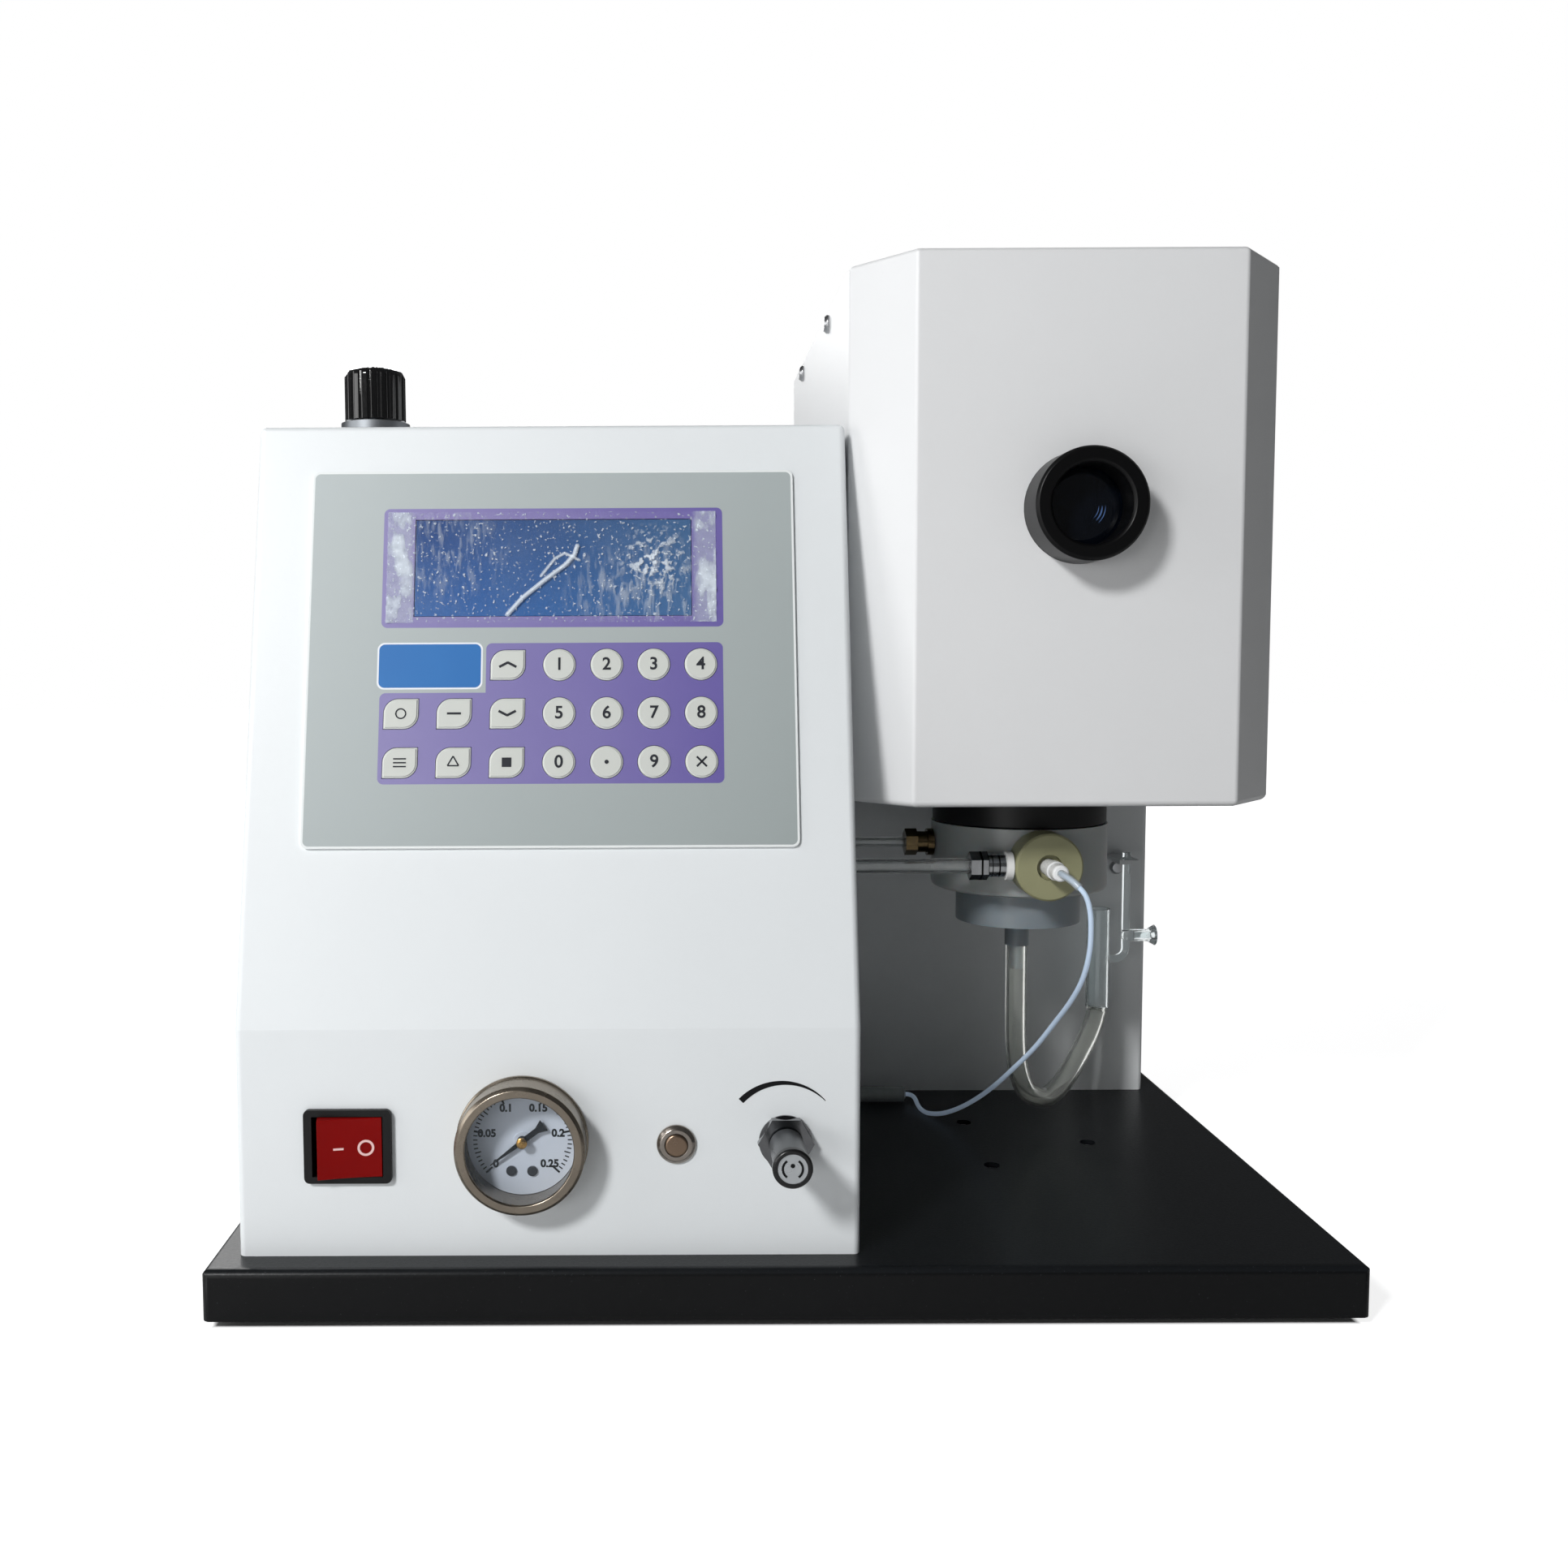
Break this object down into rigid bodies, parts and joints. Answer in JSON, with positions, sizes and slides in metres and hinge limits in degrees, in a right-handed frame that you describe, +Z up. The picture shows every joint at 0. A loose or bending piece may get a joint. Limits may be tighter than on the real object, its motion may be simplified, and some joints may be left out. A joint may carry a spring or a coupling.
{
  "type": "flame photometer",
  "caption": "Bench flame photometer: sloped keypad console with gauge and gas controls beside a hooded burner with nebuliser, mixing chamber and drain trap on one tray.",
  "frame": {"origin": "centre of the tray on the surface that the feet stand on", "axes": "+X to the right seen from the front, +Y to the back, +Z up"},
  "size_m": [0.4, 0.332, 0.374],
  "materials": {
    "tray_black": "black textured powder coat",
    "foot_rubber": "moulded rubber",
    "white_paint": "cool white fine-textured paint",
    "hood_paint": "light grey fine-textured paint",
    "bright_steel": "turned and brushed steel",
    "ceramic_white": "glazed ceramic",
    "black_plastic": "matt black",
    "lens_glass": "clear glass",
    "burner_brass": "heat-stained metal",
    "milky_plastic": "milky moulded plastic",
    "olive_plastic": "olive-beige turned plastic",
    "white_plastic": "white moulded plastic",
    "clear_tube": "clear soft tubing",
    "fitting_metal": "plated fittings",
    "trap_glass": "blown clear glass",
    "panel_film": "grey printed film",
    "display_blue": "blue display under a clear cover",
    "red_plastic": "red translucent plastic",
    "dial_print": "printed dial sheet",
    "grey_plastic": "grey knob",
    "cast_alloy": "cast alloy",
    "gloss_black": "glossy black",
    "board_green": "circuit board",
    "screw_steel": "plated screws",
    "key_film": "domed key film"
  },
  "bodies": {
    "frame": {"base_plate": "tray_black", "rubber_feet": "foot_rubber", "console_shell": "white_paint", "console_back": "white_paint", "tower_housing": "white_paint", "hood_shell": "hood_paint", "hood_top": "hood_paint", "burner_deck": "bright_steel", "chimney_tube": "bright_steel", "spark_igniter": "ceramic_white", "viewing_tube": "black_plastic", "viewing_lens": "lens_glass", "burner_head": "burner_brass", "burner_collar": "black_plastic", "mixing_chamber": "milky_plastic", "nebuliser_body": "olive_plastic", "nebuliser_tip": "white_plastic", "capillary_tube": "clear_tube", "capillary_sleeve": "clear_tube", "supply_hoses": "clear_tube", "hose_fittings": "fitting_metal", "drain_tube": "clear_tube", "drain_trap": "trap_glass", "membrane_panel": "panel_film", "display_module": "display_blue", "switch_body": "black_plastic", "gauge_case": "bright_steel", "gauge_dial": "dial_print", "gauge_glass": "lens_glass", "ignition_body": "bright_steel", "valve_body": "fitting_metal", "regulator_body": "cast_alloy", "detector_block": "black_plastic", "main_board": "board_green", "mains_inlet": "black_plastic", "case_screws": "screw_steel"},
    "power_rocker": {"switch_rocker": "red_plastic"},
    "pointer": {"gauge_pointer": "black_plastic"},
    "igniter_push": {"ignition_button": "bright_steel"},
    "gas_knob": {"valve_knob": "grey_plastic"},
    "pressure_knob": {"regulator_knob": "gloss_black"},
    "key_arrow_up_cap": {"key_arrow_up": "key_film"},
    "key_1_cap": {"key_1": "key_film"},
    "key_2_cap": {"key_2": "key_film"},
    "key_3_cap": {"key_3": "key_film"},
    "key_4_cap": {"key_4": "key_film"},
    "key_mode_1_cap": {"key_mode_1": "key_film"},
    "key_mode_2_cap": {"key_mode_2": "key_film"},
    "key_arrow_down_cap": {"key_arrow_down": "key_film"},
    "key_5_cap": {"key_5": "key_film"},
    "key_6_cap": {"key_6": "key_film"},
    "key_7_cap": {"key_7": "key_film"},
    "key_8_cap": {"key_8": "key_film"},
    "key_mode_3_cap": {"key_mode_3": "key_film"},
    "key_mode_4_cap": {"key_mode_4": "key_film"},
    "key_mode_5_cap": {"key_mode_5": "key_film"},
    "key_0_cap": {"key_0": "key_film"},
    "key_point_cap": {"key_point": "key_film"},
    "key_9_cap": {"key_9": "key_film"},
    "key_clear_cap": {"key_clear": "key_film"}
  },
  "joints": [
    {"name": "power_rocker_tilt", "type": "hinge", "parent": "frame", "child": "power_rocker", "pos_m": [-0.151, -0.135, 0.0605], "axis": [0, 0, -1], "range_deg": [0, 20]},
    {"name": "gauge_pointer_turn", "type": "hinge", "parent": "frame", "child": "pointer", "pos_m": [-0.0905, -0.1395, 0.062], "axis": [0, 1, 0], "range_deg": [0, 262], "stiffness_Nm_per_rad": 0.00002},
    {"name": "ignition_press", "type": "slide", "parent": "frame", "child": "igniter_push", "axis": [0, 1, 0], "range_m": [0, 0.0022], "stiffness_N_per_m": 400, "springref_m": -0.002},
    {"name": "gas_valve_turn", "type": "hinge", "parent": "frame", "child": "gas_knob", "pos_m": [0.0008, -0.15, 0.0614], "axis": [0, 1, 0], "range_deg": [0, 1080]},
    {"name": "regulator_turn", "type": "hinge", "parent": "frame", "child": "pressure_knob", "pos_m": [-0.151, -0.065, 0.33], "axis": [0, 0, -1], "range_deg": [0, 1440]},
    {"name": "key_arrow_up_press", "type": "slide", "parent": "frame", "child": "key_arrow_up_cap", "axis": [0, 0.9724, -0.2334], "range_m": [0, 0.0004], "stiffness_N_per_m": 600, "springref_m": -0.0005},
    {"name": "key_1_press", "type": "slide", "parent": "frame", "child": "key_1_cap", "axis": [0, 0.9724, -0.2334], "range_m": [0, 0.0004], "stiffness_N_per_m": 600, "springref_m": -0.0005},
    {"name": "key_2_press", "type": "slide", "parent": "frame", "child": "key_2_cap", "axis": [0, 0.9724, -0.2334], "range_m": [0, 0.0004], "stiffness_N_per_m": 600, "springref_m": -0.0005},
    {"name": "key_3_press", "type": "slide", "parent": "frame", "child": "key_3_cap", "axis": [0, 0.9724, -0.2334], "range_m": [0, 0.0004], "stiffness_N_per_m": 600, "springref_m": -0.0005},
    {"name": "key_4_press", "type": "slide", "parent": "frame", "child": "key_4_cap", "axis": [0, 0.9724, -0.2334], "range_m": [0, 0.0004], "stiffness_N_per_m": 600, "springref_m": -0.0005},
    {"name": "key_mode_1_press", "type": "slide", "parent": "frame", "child": "key_mode_1_cap", "axis": [0, 0.9724, -0.2334], "range_m": [0, 0.0004], "stiffness_N_per_m": 600, "springref_m": -0.0005},
    {"name": "key_mode_2_press", "type": "slide", "parent": "frame", "child": "key_mode_2_cap", "axis": [0, 0.9724, -0.2334], "range_m": [0, 0.0004], "stiffness_N_per_m": 600, "springref_m": -0.0005},
    {"name": "key_arrow_down_press", "type": "slide", "parent": "frame", "child": "key_arrow_down_cap", "axis": [0, 0.9724, -0.2334], "range_m": [0, 0.0004], "stiffness_N_per_m": 600, "springref_m": -0.0005},
    {"name": "key_5_press", "type": "slide", "parent": "frame", "child": "key_5_cap", "axis": [0, 0.9724, -0.2334], "range_m": [0, 0.0004], "stiffness_N_per_m": 600, "springref_m": -0.0005},
    {"name": "key_6_press", "type": "slide", "parent": "frame", "child": "key_6_cap", "axis": [0, 0.9724, -0.2334], "range_m": [0, 0.0004], "stiffness_N_per_m": 600, "springref_m": -0.0005},
    {"name": "key_7_press", "type": "slide", "parent": "frame", "child": "key_7_cap", "axis": [0, 0.9724, -0.2334], "range_m": [0, 0.0004], "stiffness_N_per_m": 600, "springref_m": -0.0005},
    {"name": "key_8_press", "type": "slide", "parent": "frame", "child": "key_8_cap", "axis": [0, 0.9724, -0.2334], "range_m": [0, 0.0004], "stiffness_N_per_m": 600, "springref_m": -0.0005},
    {"name": "key_mode_3_press", "type": "slide", "parent": "frame", "child": "key_mode_3_cap", "axis": [0, 0.9724, -0.2334], "range_m": [0, 0.0004], "stiffness_N_per_m": 600, "springref_m": -0.0005},
    {"name": "key_mode_4_press", "type": "slide", "parent": "frame", "child": "key_mode_4_cap", "axis": [0, 0.9724, -0.2334], "range_m": [0, 0.0004], "stiffness_N_per_m": 600, "springref_m": -0.0005},
    {"name": "key_mode_5_press", "type": "slide", "parent": "frame", "child": "key_mode_5_cap", "axis": [0, 0.9724, -0.2334], "range_m": [0, 0.0004], "stiffness_N_per_m": 600, "springref_m": -0.0005},
    {"name": "key_0_press", "type": "slide", "parent": "frame", "child": "key_0_cap", "axis": [0, 0.9724, -0.2334], "range_m": [0, 0.0004], "stiffness_N_per_m": 600, "springref_m": -0.0005},
    {"name": "key_point_press", "type": "slide", "parent": "frame", "child": "key_point_cap", "axis": [0, 0.9724, -0.2334], "range_m": [0, 0.0004], "stiffness_N_per_m": 600, "springref_m": -0.0005},
    {"name": "key_9_press", "type": "slide", "parent": "frame", "child": "key_9_cap", "axis": [0, 0.9724, -0.2334], "range_m": [0, 0.0004], "stiffness_N_per_m": 600, "springref_m": -0.0005},
    {"name": "key_clear_press", "type": "slide", "parent": "frame", "child": "key_clear_cap", "axis": [0, 0.9724, -0.2334], "range_m": [0, 0.0004], "stiffness_N_per_m": 600, "springref_m": -0.0005}
  ]
}
